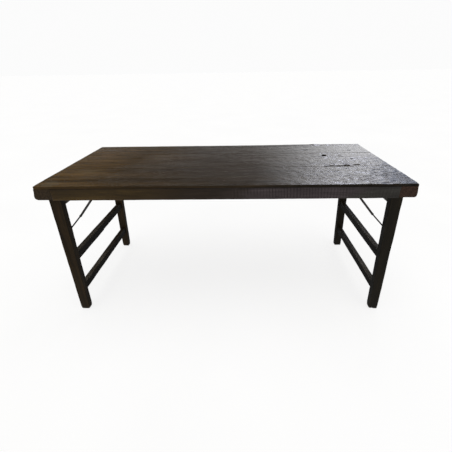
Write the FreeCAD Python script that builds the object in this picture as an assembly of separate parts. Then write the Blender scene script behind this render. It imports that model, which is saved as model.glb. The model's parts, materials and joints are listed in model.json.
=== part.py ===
import FreeCAD, Part
import math
import os

from FreeCAD import Vector as V

# Folding table of reclaimed hardwood: a planked top on an apron frame, with a folding
# leg frame under each end and a pair of two-link iron stays for each frame.
# Row frame: origin on the floor under the middle of the top, +X along the top,
# +Y towards the back, +Z up. Millimetres.

# ---- driving dimensions ----
TOP_L = 1724.0            # length of the top
TOP_W = 756.0             # width of the top
TOP_H = 760.0             # height of the table
PLANK_T = 12.0            # plank thickness
APRON_Z0 = 695.0          # underside of the apron frame
SEAMS_Y = (-262.0, -110.0, 160.0)   # seams between the lengthwise planks
SEAM_GAP = 1.0
RAIL_T = 22.0             # thickness of a long rail
END_RAIL_W = 75.0         # width of an end rail
END_ROUND = (14.0, 6.0)   # rounding of the end rails' outer lower arris, left and right
HINGE_BATTEN_W = 66.0
BATTEN_X = 310.0          # place of the cross battens
BATTEN_W = 60.0
BATTEN_Z0 = 705.0
STAY_BATTEN_X = 618.0
STAY_BATTEN_W = 64.0
STAY_BATTEN_Z0 = 722.0

SPLAY = 3.1               # outward lean of a leg's inner face, degrees
HINGE_X = 762.0           # hinge axis of a leg frame, parallel to Y
HINGE_Z = 691.5
KNUCKLE_R = 3.2
HINGE_PIN_R = 1.6
PIN_CLEAR = 0.05          # running clearance on the radius
LEAF_T = 2.0
LEAF_W = 60.0             # leaf size along Y
LEAF_L = 36.0
HINGE_Y = 190.0           # hinges stand at +-HINGE_Y
LEG_FACE = 3.6            # distance of the leg frame's inner face from the hinge axis
LEG_T_TOP = 55.0          # leg section across the frame's plane, at the top and the foot
LEG_T_FOOT = 47.0
LEG_Y0 = 319.5            # leg section along Y
LEG_Y1 = 356.5
LEG_TOP_Z = 694.7         # the legs end 0.3 under the end rail, which is their stop
TOP_RAIL_Z0 = 650.0
TOP_RAIL_T = 40.0
RUNG_T = 30.0             # rung section across the frame's plane
RUNG_H = 42.0             # and along the leg
RUNG_IN = 3.5             # the rungs' shift from the middle of the leg towards its inner face
UPPER_RUNG_Z = 348.0
LOWER_RUNG_Z = 144.0
TENON_T = 12.0
TENON_H = 28.0
TENON_L = 20.0
PEG_R = 3.0

STAY_A = (797.0, 501.6)   # stay pivot on the leg, X and Z
STAY_B = (615.9, 700.0)   # stay pivot on the top's bracket
KNEE_AT = 112.0           # the knuckle's distance from A along the line to B
KNEE_OFF = 4.0            # and off that line, inboard and down
LOWER_W = 6.5             # width of the lower link
LOWER_T = 3.0
UPPER_W = 10.0            # width of the upper link
UPPER_T = 4.0
EYE_R = 7.0               # eyes at the pivots
KNUCKLE_EYE_R = 5.6       # eyes at the knuckle
STAY_PIN_R = 3.0
LOWER_Y = 313.5           # inner face of the lower link's plane
UPPER_Y = 309.1           # inner face of the upper link's plane

OUT = "parts"
os.makedirs(OUT, exist_ok=True)
HX = TOP_L / 2.0
HY = TOP_W / 2.0
PLANK_Z = TOP_H - PLANK_T
RAIL_X = HX - END_RAIL_W
SIN = math.sin(math.radians(SPLAY))
COS = math.cos(math.radians(SPLAY))
TAN = SIN / COS


# ---- helpers ----
def box(x0, x1, y0, y1, z0, z1):
    return Part.makeBox(x1 - x0, y1 - y0, z1 - z0, V(x0, y0, z0))


def cyl(p, d, r, length):
    return Part.makeCylinder(r, length, V(*p), V(*d))


def prism(points, y0, y1):
    """A polygon in the XZ plane, extruded along Y."""
    pts = [V(x, y0, z) for x, z in points]
    wire = Part.makePolygon(pts + [pts[0]])
    return Part.Face(wire).extrude(V(0, y1 - y0, 0))


def round_edges(shape, r, pick):
    edges = [e for e in shape.Edges if pick(e)]
    if not edges:
        return shape
    return shape.makeFillet(r, edges)


def along(e, axis, tol=0.2):
    a, b = e.Vertexes[0].Point, e.Vertexes[-1].Point
    d = b - a
    if d.Length < 1e-6:
        return False
    d.normalize()
    return abs(abs(d.dot(V(*axis))) - 1.0) < tol * 0.1


def mid(e):
    return e.CenterOfMass


def fuse(shapes):
    out = shapes[0].multiFuse(shapes[1:]) if len(shapes) > 1 else shapes[0]
    return out.removeSplitter()


def cut(shape, tools):
    return shape.cut(Part.makeCompound(tools)) if tools else shape


def solids(shape):
    return shape.Solids


def mx(shape):
    return shape.mirror(V(0, 0, 0), V(1, 0, 0))


def my(shape):
    return shape.mirror(V(0, 0, 0), V(0, 1, 0))


def place(shape, side, depth):
    """From the right-hand front quarter (x > 0, y given as |y| on +Y) to a quarter."""
    if side == "left":
        shape = mx(shape)
    if depth == "front":
        shape = my(shape)
    return shape


def world(u, w):
    """A leg frame's own axes (u outward, w up along the leg) to X and Z, right side."""
    return (HINGE_X + u * COS - w * SIN, HINGE_Z + u * SIN + w * COS)


def leg_in(z):
    return HINGE_X + LEG_FACE / COS + (HINGE_Z - z) * TAN


def leg_out(z):
    t = LEG_T_FOOT + (LEG_T_TOP - LEG_T_FOOT) * z / LEG_TOP_Z
    return leg_in(z) + t / COS


nodes = {}

# ---- top: planks, rails and battens ----
nails = []
nail_holes = []
rows = (-HY, SEAMS_Y[0], SEAMS_Y[1], SEAMS_Y[2], HY)
plank_names = ("plank_front", "plank_front_inner", "plank_back_inner", "plank_back")
NAIL_HEAD_R, NAIL_R, NAIL_TIP = 2.6, 1.5, 726.0
for k in range(4):
    ya, yb = rows[k], rows[k + 1]
    for x in (-822.0, -757.0, -STAY_BATTEN_X, -BATTEN_X, 0.0, BATTEN_X, STAY_BATTEN_X, 757.0, 822.0):
        pairs = (0.25, 0.75) if abs(x) > 700 else (0.5,)
        for f in pairs:
            y = ya + (yb - ya) * f
            head = cyl((x, y, TOP_H - 1.0), (0, 0, 1), NAIL_HEAD_R, 1.0)
            shank = cyl((x, y, NAIL_TIP), (0, 0, 1), NAIL_R, TOP_H - 1.0 - NAIL_TIP)
            nails.append(head.fuse(shank).removeSplitter())
nail_tool = Part.makeCompound(nails)

dowels = []
for sx in (-1, 1):
    for sy in (-1, 1):
        for z in (709.0, 733.0):
            dowels.append(cyl((sx * RAIL_X - 35.0, sy * (HY - RAIL_T / 2), z), (1, 0, 0), 4.0, 70.0))
dowel_tool = Part.makeCompound(dowels)

for k, name in enumerate(plank_names):
    y0 = rows[k] + (0 if k == 0 else SEAM_GAP / 2)
    y1 = rows[k + 1] - (0 if k == 3 else SEAM_GAP / 2)
    p = box(-HX, HX, y0, y1, PLANK_Z, TOP_H)
    p = round_edges(p, 1.6, lambda e: along(e, (1, 0, 0)) and mid(e).z > TOP_H - 0.1)
    p = round_edges(p, 2.5, lambda e: along(e, (0, 1, 0)) and mid(e).z > TOP_H - 0.1)
    nodes[name] = p.cut(nail_tool)

for name, s in (("long_rail_front", -1), ("long_rail_back", 1)):
    ya, yb = sorted((s * HY, s * (HY - RAIL_T)))
    p = box(-RAIL_X, RAIL_X, ya, yb, APRON_Z0, PLANK_Z)
    p = round_edges(p, 2.0, lambda e: along(e, (1, 0, 0)) and mid(e).z < APRON_Z0 + 0.1)
    nodes[name] = p.cut(dowel_tool)

for name, s, r in (("end_rail_left", -1, END_ROUND[0]), ("end_rail_right", 1, END_ROUND[1])):
    xa, xb = sorted((s * RAIL_X, s * HX))
    p = box(xa, xb, -HY, HY, APRON_Z0, PLANK_Z)
    p = round_edges(p, r, lambda e: along(e, (0, 1, 0)) and mid(e).z < APRON_Z0 + 0.1 and abs(mid(e).x) > HX - 0.1)
    p = round_edges(p, 2.0, lambda e: along(e, (0, 0, 1)) and abs(mid(e).x) > HX - 0.1)
    nodes[name] = p.cut(dowel_tool).cut(nail_tool)

inner_y = HY - RAIL_T


def batten(x, w, z0):
    p = box(x - w / 2, x + w / 2, -inner_y, inner_y, z0, PLANK_Z)
    return round_edges(p, 2.0, lambda e: along(e, (0, 1, 0)) and mid(e).z < z0 + 0.1)


battens = {
    "hinge_batten_left": batten(-(RAIL_X - HINGE_BATTEN_W / 2), HINGE_BATTEN_W, APRON_Z0),
    "hinge_batten_right": batten(RAIL_X - HINGE_BATTEN_W / 2, HINGE_BATTEN_W, APRON_Z0),
    "stay_batten_left": batten(-STAY_BATTEN_X, STAY_BATTEN_W, STAY_BATTEN_Z0),
    "stay_batten_right": batten(STAY_BATTEN_X, STAY_BATTEN_W, STAY_BATTEN_Z0),
    "cross_batten_left": batten(-BATTEN_X, BATTEN_W, BATTEN_Z0),
    "cross_batten_centre": batten(0.0, BATTEN_W, BATTEN_Z0),
    "cross_batten_right": batten(BATTEN_X, BATTEN_W, BATTEN_Z0),
}
nodes["plank_nails"] = Part.makeCompound(nails)
nodes["rail_dowels"] = Part.makeCompound(dowels)

# ---- hinges (built for the right-hand back quarter, then mirrored) ----
SCREW_HEAD_R, SCREW_HEAD_T, SCREW_R, SCREW_L = 3.2, 1.2, 1.7, 22.0
K_HALF, K_OWN = LEAF_W / 2, 12.0
NOTCH = KNUCKLE_R + 1.0
yc = HINGE_Y


def knuckle(y0, y1):
    return cyl((HINGE_X, y0, HINGE_Z), (0, 1, 0), KNUCKLE_R, y1 - y0)


def pin_hole(r):
    return cyl((HINGE_X, yc - K_HALF - 1, HINGE_Z), (0, 1, 0), r, LEAF_W + 2)


# top leaf: plate against the batten's underside, two outer knuckles
plate = box(HINGE_X - LEAF_L, HINGE_X - NOTCH, yc - K_HALF, yc + K_HALF, APRON_Z0 - LEAF_T, APRON_Z0)
ears = []
for a, b in ((yc - K_HALF, yc - K_OWN - 0.4), (yc + K_OWN + 0.4, yc + K_HALF)):
    ears.append(knuckle(a, b))
    ears.append(box(HINGE_X - NOTCH - 0.5, HINGE_X, a, b, APRON_Z0 - LEAF_T, HINGE_Z + KNUCKLE_R))
top_leaf = fuse([plate] + ears).cut(pin_hole(HINGE_PIN_R))
top_screw_xy = ((HINGE_X - 26.0, yc - 20.0), (HINGE_X - 14.0, yc), (HINGE_X - 26.0, yc + 20.0))
top_screws = []
for x, y in top_screw_xy:
    z = APRON_Z0 - LEAF_T
    head = cyl((x, y, z), (0, 0, 1), SCREW_HEAD_R, SCREW_HEAD_T)
    shank = cyl((x, y, z + SCREW_HEAD_T), (0, 0, 1), SCREW_R, SCREW_L)
    top_screws.append(head.fuse(shank).removeSplitter())
top_leaf = cut(top_leaf, top_screws)

# leg leaf: plate on the leg frame's inner face, one middle knuckle; drawn with w up, then leaned
lp0, lp1 = LEG_FACE - LEAF_T, LEG_FACE
plate = box(lp0, lp1, yc - K_HALF, yc + K_HALF, -LEAF_L, -NOTCH)
tongue = box(lp0, lp1, yc - K_OWN, yc + K_OWN, -NOTCH - 0.5, 0.0)
own = Part.makeCylinder(KNUCKLE_R, 2 * K_OWN, V(0, yc - K_OWN, 0), V(0, 1, 0))
leg_leaf = fuse([plate, tongue, own])
leg_leaf = leg_leaf.cut(Part.makeCylinder(HINGE_PIN_R + PIN_CLEAR, LEAF_W, V(0, yc - K_HALF, 0), V(0, 1, 0)))
leg_screws = []
for w, y in ((-26.0, yc - 20.0), (-14.0, yc), (-26.0, yc + 20.0)):
    head = Part.makeCylinder(SCREW_HEAD_R, SCREW_HEAD_T, V(lp0, y, w), V(1, 0, 0))
    shank = Part.makeCylinder(SCREW_R, SCREW_L, V(lp0 + SCREW_HEAD_T, y, w), V(1, 0, 0))
    leg_screws.append(head.fuse(shank).removeSplitter())
leg_leaf = cut(leg_leaf, leg_screws)


def lean(shape):
    """From the leg frame's own axes to the row frame, right side."""
    s = shape.copy()
    s.rotate(V(0, 0, 0), V(0, 1, 0), -SPLAY)
    s.translate(V(HINGE_X, 0, HINGE_Z))
    return s


leg_leaf = lean(leg_leaf)
leg_screws = [lean(s) for s in leg_screws]
hinge_pin = cyl((HINGE_X, yc - K_HALF, HINGE_Z), (0, 1, 0), HINGE_PIN_R, LEAF_W)

quarters = [(s, d) for s in ("left", "right") for d in ("front", "back")]
all_top_screws = []
for s, d in quarters:
    nodes["hinge_top_leaf_%s_%s" % (s, d)] = place(top_leaf, s, d)
    nodes["hinge_leg_leaf_%s_%s" % (s, d)] = place(leg_leaf, s, d)
    nodes["hinge_pin_%s_%s" % (s, d)] = place(hinge_pin, s, d)
    all_top_screws += [place(x, s, d) for x in top_screws]
nodes["hinge_top_screws"] = Part.makeCompound(all_top_screws)

# ---- stay brackets under the stay battens ----
bx, bz = STAY_B
base = box(bx - 20, bx + 20, LOWER_Y, LOWER_Y + 32.0, STAY_BATTEN_Z0 - 3.0, STAY_BATTEN_Z0)
lug = box(bx - 9, bx + 9, LOWER_Y, LOWER_Y + LOWER_T, bz, STAY_BATTEN_Z0 - 2.0)
eye = cyl((bx, LOWER_Y, bz), (0, 1, 0), 9.0, LOWER_T)
bracket = fuse([base, lug, eye]).cut(cyl((bx, LOWER_Y - 1, bz), (0, 1, 0), STAY_PIN_R, LOWER_T + 2))
bracket_screws = []
for dx in (-12.0, 12.0):
    z = STAY_BATTEN_Z0 - 3.0
    p = (bx + dx, LOWER_Y + 20.0)
    head = cyl((p[0], p[1], z - 2.0), (0, 0, 1), 4.0, 2.0)
    shank = cyl((p[0], p[1], z), (0, 0, 1), 2.0, 21.0)
    bracket_screws.append(head.fuse(shank).removeSplitter())
bracket = cut(bracket, bracket_screws)


def rivet(x, z, y_in, y_out, r_head, head_in, head_out):
    """A rivet along Y from y_in to y_out with a low domed head at each end."""
    body = cyl((x, y_in, z), (0, 1, 0), STAY_PIN_R, y_out - y_in)
    out = [body]
    for y, h, sgn in ((y_in, head_in, -1), (y_out, head_out, 1)):
        if h > 0:
            disc = cyl((x, y, z), (0, sgn, 0), r_head, h * 0.5)
            cone = Part.makeCone(r_head, r_head * 0.6, h * 0.5, V(x, y + sgn * h * 0.5, z), V(0, sgn, 0))
            out += [disc, cone]
    return fuse(out)


bracket_rivet = rivet(bx, bz, UPPER_Y - 0.4, LOWER_Y + LOWER_T, 6.0, 2.0, 1.8)
brackets_screws_all, bracket_rivets_all = [], []
for s, d in quarters:
    nodes["stay_bracket_%s_%s" % (s, d)] = place(bracket, s, d)
    brackets_screws_all += [place(x, s, d) for x in bracket_screws]
    bracket_rivets_all.append(place(bracket_rivet, s, d))
nodes["stay_bracket_screws"] = Part.makeCompound(brackets_screws_all)
nodes["stay_bracket_rivets"] = Part.makeCompound(bracket_rivets_all)

screw_tool = Part.makeCompound(all_top_screws + brackets_screws_all)
for name, p in battens.items():
    nodes[name] = p.cut(nail_tool).cut(screw_tool)

# ---- stay links ----
ax, az = STAY_A
dx, dz = bx - ax, bz - az
L = math.hypot(dx, dz)
kx = ax + dx / L * KNEE_AT - abs(dz / L) * KNEE_OFF
kz = az + dz / L * KNEE_AT - abs(dx / L) * KNEE_OFF


def link(p, q, y, t, width, hole_at, r_hole, head_y, head_dir):
    """A flat bar from p to q with a round eye at each end, and a half rivet head at q."""
    vx, vz = q[0] - p[0], q[1] - p[1]
    n = math.hypot(vx, vz)
    vx, vz = vx / n, vz / n
    h = width / 2.0
    corners = [
        (p[0] - vz * h, p[1] + vx * h), (q[0] - vz * h, q[1] + vx * h),
        (q[0] + vz * h, q[1] - vx * h), (p[0] + vz * h, p[1] - vx * h),
    ]
    bar = prism(corners, y, y + t)
    out = fuse([bar, cyl((p[0], y, p[1]), (0, 1, 0), EYE_R, t), cyl((q[0], y, q[1]), (0, 1, 0), KNUCKLE_EYE_R, t)])
    out = out.cut(cyl((p[0], y - 1, p[1]), (0, 1, 0), r_hole, t + 2))
    disc = cyl((q[0], head_y, q[1]), (0, head_dir, 0), 4.4, 0.9)
    cone = Part.makeCone(4.4, 2.8, 0.9, V(q[0], head_y + head_dir * 0.9, q[1]), V(0, head_dir, 0))
    return fuse([out, disc, cone])


lower = link((ax, az), (kx, kz), LOWER_Y, LOWER_T, LOWER_W, 0, STAY_PIN_R + PIN_CLEAR, LOWER_Y + LOWER_T, 1)
upper = link((bx, bz), (kx, kz), UPPER_Y, UPPER_T, UPPER_W, 0, STAY_PIN_R + PIN_CLEAR, UPPER_Y, -1)
for s, d in quarters:
    nodes["stay_lower_link_%s_%s" % (s, d)] = place(lower, s, d)
    nodes["stay_upper_link_%s_%s" % (s, d)] = place(upper, s, d)

# ---- leg frames (built on the right, mirrored for the left) ----
leg = prism([(leg_in(0), 0), (leg_out(0), 0), (leg_out(LEG_TOP_Z), LEG_TOP_Z), (leg_in(LEG_TOP_Z), LEG_TOP_Z)],
            LEG_Y0, LEG_Y1)
leg = leg.makeChamfer(2.5, [e for e in leg.Edges if e.Length > 600])
FOOT_CUT = 3.0            # the foot's arrises are taken off by a sloping cut all round
fx0, fx1 = leg_in(0), leg_out(0)
foot_tools = [
    prism([(fx0 - 5, -5), (fx0 + FOOT_CUT + 5, -5), (fx0 - 5, FOOT_CUT + 5)], LEG_Y0 - 5, LEG_Y1 + 5),
    prism([(fx1 + 5, -5), (fx1 - FOOT_CUT - 5, -5), (fx1 + 5, FOOT_CUT + 5)], LEG_Y0 - 5, LEG_Y1 + 5),
]
for y, sgn in ((LEG_Y0, 1), (LEG_Y1, -1)):
    tri = [V(fx0 - 20, y - sgn * 5, -5), V(fx0 - 20, y + sgn * (FOOT_CUT + 5), -5), V(fx0 - 20, y - sgn * 5, FOOT_CUT + 5)]
    foot_tools.append(Part.Face(Part.makePolygon(tri + [tri[0]])).extrude(V(fx1 - fx0 + 40, 0, 0)))
leg = leg.cut(Part.makeCompound(foot_tools))


def rung_centre(z):
    """u and w of a rung's centre, near the middle of the leg's thickness at height z."""
    x = (leg_in(z) + leg_out(z)) / 2 - RUNG_IN
    du, dv = x - HINGE_X, z - HINGE_Z
    return du * COS + dv * SIN, -du * SIN + dv * COS


def rung(z):
    u, w = rung_centre(z)
    body = box(u - RUNG_T / 2, u + RUNG_T / 2, -LEG_Y0, LEG_Y0, w - RUNG_H / 2, w + RUNG_H / 2)
    body = round_edges(body, 3.0, lambda e: along(e, (0, 1, 0)))
    tenon = box(u - TENON_T / 2, u + TENON_T / 2, -LEG_Y0 - TENON_L, LEG_Y0 + TENON_L, w - TENON_H / 2, w + TENON_H / 2)
    return lean(fuse([body, tenon])), lean(tenon)


def peg(z):
    x = (leg_in(z) + leg_out(z)) / 2
    half = (leg_out(z) - leg_in(z)) / 2 - 0.05
    y = LEG_Y0 + TENON_L / 2
    c = Part.makeCylinder(PEG_R, 2 * half * COS, V(0, y, 0), V(1, 0, 0))
    c.translate(V(-half * COS, 0, 0))
    c.rotate(V(0, 0, 0), V(0, 1, 0), -SPLAY)
    c.translate(V(x, 0, z))
    return c


upper_rung, upper_tenon = rung(UPPER_RUNG_Z)
lower_rung, lower_tenon = rung(LOWER_RUNG_Z)
tr = prism([(leg_in(TOP_RAIL_Z0), TOP_RAIL_Z0), (leg_in(TOP_RAIL_Z0) + TOP_RAIL_T, TOP_RAIL_Z0),
            (leg_in(LEG_TOP_Z) + TOP_RAIL_T, LEG_TOP_Z), (leg_in(LEG_TOP_Z), LEG_TOP_Z)], -LEG_Y0, LEG_Y0)
tr = round_edges(tr, 2.5, lambda e: along(e, (0, 1, 0)) and mid(e).z < TOP_RAIL_Z0 + 0.1)
tz = (TOP_RAIL_Z0 + LEG_TOP_Z) / 2 - 3.0
tr_tenon = box(leg_in(tz) + 14, leg_in(tz) + 14 + TENON_T, -LEG_Y0 - TENON_L, LEG_Y0 + TENON_L, tz - 14, tz + 14)
top_rail = fuse([tr, tr_tenon])

pegs = []
for z in (tz, UPPER_RUNG_Z, LOWER_RUNG_Z):
    pegs += [peg(z), my(peg(z))]
peg_tool = Part.makeCompound(pegs)

# stay bolt: an iron bolt in the leg, with a collar against the leg and a head inside the link
bolt = fuse([
    cyl((ax, LOWER_Y - 0.4, az), (0, 1, 0), STAY_PIN_R, 0.4 + LEG_Y0 - LOWER_Y + 24.0),
    cyl((ax, LOWER_Y + LOWER_T + 0.4, az), (0, 1, 0), 6.0, LEG_Y0 - LOWER_Y - LOWER_T - 0.4),
    cyl((ax, LOWER_Y - 0.4, az), (0, -1, 0), 6.0, 1.0),
    Part.makeCone(6.0, 4.0, 1.1, V(ax, LOWER_Y - 1.4, az), V(0, -1, 0)),
])
bolts = [my(bolt), bolt]
bolt_tool = Part.makeCompound(bolts)

tenon_tool = Part.makeCompound([upper_tenon, lower_tenon, tr_tenon])
leg_back = leg.cut(tenon_tool).cut(peg_tool).cut(bolt_tool)
leg_front = my(leg).cut(tenon_tool).cut(peg_tool).cut(bolt_tool)
upper_rung = upper_rung.cut(peg_tool)
lower_rung = lower_rung.cut(peg_tool)
frame_leg_screws = leg_screws + [my(s) for s in leg_screws]
top_rail = top_rail.cut(peg_tool).cut(Part.makeCompound(frame_leg_screws))

right = {
    "leg_front": leg_front, "leg_back": leg_back, "leg_frame_top_rail": top_rail,
    "upper_rung": upper_rung, "lower_rung": lower_rung,
    "frame_pegs": Part.makeCompound(pegs),
    "hinge_leg_screws": Part.makeCompound(frame_leg_screws),
    "stay_bolts": Part.makeCompound(bolts),
}
for name, shape in right.items():
    nodes[name + "_right"] = shape
    nodes[name + "_left"] = mx(shape)

# ---- export ----
total = 0
for name in sorted(nodes):
    shape = nodes[name]
    s = shape.Solids
    bad = [x for x in s if not x.isValid() or x.Volume <= 0]
    out = s[0] if len(s) == 1 else Part.makeCompound(s)
    out.exportStep("%s/%s.step" % (OUT, name))
    total += len(s)
    b = shape.BoundBox
    print("%-34s solids %3d vol %12.1f  x %8.2f %8.2f  y %8.2f %8.2f  z %8.2f %8.2f%s" % (
        name, len(s), sum(x.Volume for x in s), b.XMin, b.XMax, b.YMin, b.YMax, b.ZMin, b.ZMax,
        "  BAD" if bad else ""))
print("nodes", len(nodes), "solids", total, "knee", round(kx, 3), round(kz, 3))
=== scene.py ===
import json
import math

import bpy
import numpy as np
from mathutils import Matrix, Vector


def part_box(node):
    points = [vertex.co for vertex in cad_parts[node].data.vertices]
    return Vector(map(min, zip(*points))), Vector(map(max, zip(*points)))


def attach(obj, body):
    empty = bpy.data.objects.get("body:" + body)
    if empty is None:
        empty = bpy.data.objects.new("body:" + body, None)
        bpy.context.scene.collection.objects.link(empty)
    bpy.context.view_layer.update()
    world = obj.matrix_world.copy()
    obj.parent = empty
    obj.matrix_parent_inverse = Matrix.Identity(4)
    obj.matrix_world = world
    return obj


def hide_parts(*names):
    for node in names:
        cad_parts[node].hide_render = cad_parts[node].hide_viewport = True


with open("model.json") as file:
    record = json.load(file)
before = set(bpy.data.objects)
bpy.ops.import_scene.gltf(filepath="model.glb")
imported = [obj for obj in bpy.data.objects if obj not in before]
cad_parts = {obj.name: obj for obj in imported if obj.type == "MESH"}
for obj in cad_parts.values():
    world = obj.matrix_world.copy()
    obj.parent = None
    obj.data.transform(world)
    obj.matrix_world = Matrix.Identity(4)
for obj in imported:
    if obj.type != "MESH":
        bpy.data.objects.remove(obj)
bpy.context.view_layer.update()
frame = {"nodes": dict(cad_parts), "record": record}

# ------------------------------------------------------------------ sizes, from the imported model
def box(n):
    lo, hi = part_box(n)
    return np.array(lo), np.array(hi)


BODY_OF = {}
for b, members in frame["record"]["behaviour"]["bodies"].items():
    for n in members:
        BODY_OF[n] = b
SLOT_OF = {s["node"]: s["material_slot"] for s in frame["record"]["subparts"]}

HX = box("end_rail_right")[1][0]
HY = box("plank_back")[1][1]
TOP = 0.760
PLANK_Z = 0.748
APRON = 0.695
RAIL_X = box("long_rail_front")[1][0]
SPLAY = math.radians(3.1)
SIN, COS, TAN = math.sin(SPLAY), math.cos(SPLAY), math.tan(SPLAY)
HINGE_X, HINGE_Z, FACE = 0.762, 0.6915, 0.0036
LEG_T_TOP, LEG_T_FOOT, LEG_TOP_Z = 0.055, 0.047, 0.6947


def leg_in(z):
    return HINGE_X + FACE / COS + (HINGE_Z - z) * TAN


# ------------------------------------------------------------------ noise
class Noise:
    """Gradient noise in three dimensions, about -0.7 to 0.7, the same each run."""

    def __init__(self, seed):
        rs = np.random.RandomState(seed)
        p = rs.permutation(256)
        self.p = np.concatenate([p, p, p])
        g = rs.normal(size=(256, 3))
        self.g = g / np.linalg.norm(g, axis=1)[:, None]

    def __call__(self, x, y, z=0.0):
        x, y, z = np.broadcast_arrays(np.asarray(x, float), y, z)
        xi, yi, zi = (np.floor(a).astype(int) for a in (x, y, z))
        xf, yf, zf = x - xi, y - yi, z - zi
        u, v, w = (t * t * t * (t * (t * 6 - 15) + 10) for t in (xf, yf, zf))
        out = 0.0
        for dx in (0, 1):
            for dy in (0, 1):
                for dz in (0, 1):
                    h = self.p[(self.p[(self.p[(xi + dx) & 255] + yi + dy) & 255] + zi + dz) & 255]
                    g = self.g[h]
                    d = g[..., 0] * (xf - dx) + g[..., 1] * (yf - dy) + g[..., 2] * (zf - dz)
                    out = out + d * (u if dx else 1 - u) * (v if dy else 1 - v) * (w if dz else 1 - w)
        return out

    def fbm(self, x, y, z=0.0, octaves=3, gain=0.5):
        out, a, f = 0.0, 1.0, 1.0
        for k in range(octaves):
            out = out + a * self(np.asarray(x) * f + 17.3 * k, np.asarray(y) * f - 5.1 * k, np.asarray(z) * f + 3.7 * k)
            a, f = a * gain, f * 2.03
        return out


def smooth(a, b, x):
    t = np.clip((np.asarray(x, float) - a) / (b - a), 0, 1)
    return t * t * (3 - 2 * t)


def bump1(x, c, w):
    return np.exp(-(((np.asarray(x) - c) / w) ** 2))


# ------------------------------------------------------------------ timber
def stations(a, b, step, r, fine=()):
    """Places from a to b: close together at both ends, step apart between, finer in the fine spans (from, to, step)."""
    out = [a, b]
    edge = [0.16, 0.34, 0.56, 0.8, 1.05, 1.4, 2.0]
    out += [a + e * r for e in edge] + [b - e * r for e in edge]
    x = a + 2.0 * r
    while x < b - 2.0 * r:
        out.append(x)
        s = step
        for f0, f1, fs in fine:
            if f0 <= x < f1:
                s = fs
        x += s
    out = np.array(sorted(v for v in out if a <= v <= b))
    keep = [out[0]]
    least = min(step * 0.45, r * 0.13)
    for v in out[1:]:
        if v - keep[-1] > least:
            keep.append(v)
    keep[-1] = b
    return np.array(keep)


def timber(name, lo, hi, steps, r, grain, seed, body, replaces, material,
           rfun=None, disp=None, shape=None, fine=((), (), ()), wear_w=0.0035, wear_and_painted_highlight=1.0, rough=0.00025, dark_marks_and_painted_shade=None):
    """A board as one closed mesh: a lattice box with worn, uneven arrises, then an uneven surface along its
    normals, then shape() for taper, lean or big roundings. It carries attributes for worn arrises and painted
    highlights, for dark marks and painted shade, and endg and upward."""
    lo, hi = np.array(lo, float), np.array(hi, float)
    nz_ = Noise(seed)
    axes = [stations(lo[k], hi[k], steps[k], r, fine[k]) for k in range(3)]
    nx, ny, nzn = (len(a) for a in axes)
    mask = np.zeros((nx, ny, nzn), bool)
    mask[0], mask[-1] = True, True
    mask[:, 0], mask[:, -1] = True, True
    mask[:, :, 0], mask[:, :, -1] = True, True
    idx = -np.ones(mask.shape, int)
    ii, jj, kk = np.nonzero(mask)
    idx[ii, jj, kk] = np.arange(len(ii))
    P = np.stack([axes[0][ii], axes[1][jj], axes[2][kk]], 1)

    half = (hi - lo).min() / 2 * 0.9
    R = np.full(len(P), r)
    R = R * (1 + 0.55 * nz_.fbm(P[:, 0] * 30, P[:, 1] * 30, P[:, 2] * 30, 2))
    if rfun is not None:
        R = R + rfun(P, nz_)
    R = np.clip(R, r * 0.35, half)[:, None]
    Q = np.clip(P, lo + R, hi - R)
    D = P - Q
    length = np.linalg.norm(D, axis=1)[:, None]
    N = D / np.maximum(length, 1e-9)
    V = Q + N * R

    m = np.sort(np.minimum(P - lo, hi - P), axis=1)[:, 1]
    wn = nz_.fbm(P[:, 0] * 22, P[:, 1] * 22, P[:, 2] * 22, 3)
    w = np.exp(-((m / wear_w) ** 2)) * np.clip(0.5 + 1.3 * wn, 0, 1) * wear_and_painted_highlight
    endg = np.clip((np.abs(N[:, grain]) - 0.55) / 0.3, 0, 1)

    g = [4.0, 4.0, 4.0]
    g2 = [110.0, 110.0, 110.0]
    g2[grain] = 7.0
    d = rough * 1.6 * nz_.fbm(V[:, 0] * g[0] * 3, V[:, 1] * g[1] * 3, V[:, 2] * g[2] * 3, 2)
    d = d + rough * nz_.fbm(V[:, 0] * g2[0], V[:, 1] * g2[1], V[:, 2] * g2[2], 2)
    c = np.zeros(len(P))
    if disp is not None:
        extra = disp(V, N, nz_)
        if isinstance(extra, tuple):
            if len(extra) == 3:
                w = np.maximum(w, extra[2])
            extra, c = extra[:2]
        d = d + extra
    if dark_marks_and_painted_shade is not None:
        c = np.maximum(c, dark_marks_and_painted_shade(V, N, nz_))
    V = V + N * d[:, None]
    if shape is not None:
        V = shape(V)

    quads = []

    def side(a, flip):
        q = np.stack([a[:-1, :-1], a[:-1, 1:], a[1:, 1:], a[1:, :-1]], -1).reshape(-1, 4)
        quads.append(q[:, ::-1] if flip else q)

    side(idx[0], False)
    side(idx[-1], True)
    side(idx[:, 0], True)
    side(idx[:, -1], False)
    side(idx[:, :, 0], False)
    side(idx[:, :, -1], True)
    F = np.concatenate(quads)

    me = bpy.data.meshes.new(name)
    me.from_pydata(V.tolist(), [], F.tolist())
    me.update()
    # outward faces, whichever way shape() turned them
    tri = V[F[:, :3]]
    vol = np.einsum("ij,ij->i", tri[:, 0], np.cross(tri[:, 1], tri[:, 2])).sum()
    tri = V[F[:, [0, 2, 3]]]
    vol += np.einsum("ij,ij->i", tri[:, 0], np.cross(tri[:, 1], tri[:, 2])).sum()
    if vol < 0:
        me.flip_normals()
    for key, val in (("wear_and_painted_highlight", w), ("dark_marks_and_painted_shade", c), ("endg", endg), ("upward", smooth(0.55, 0.97, N[:, 2]))):
        att = me.attributes.new(key, "FLOAT", "POINT")
        att.data.foreach_set("value", np.clip(val, 0, 1).astype(np.float32))
    me.polygons.foreach_set("use_smooth", np.ones(len(me.polygons), bool))
    me.materials.append(material)
    o = bpy.data.objects.new(name, me)
    bpy.context.scene.collection.objects.link(o)
    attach(o, body)
    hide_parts(*replaces)
    return o


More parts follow.
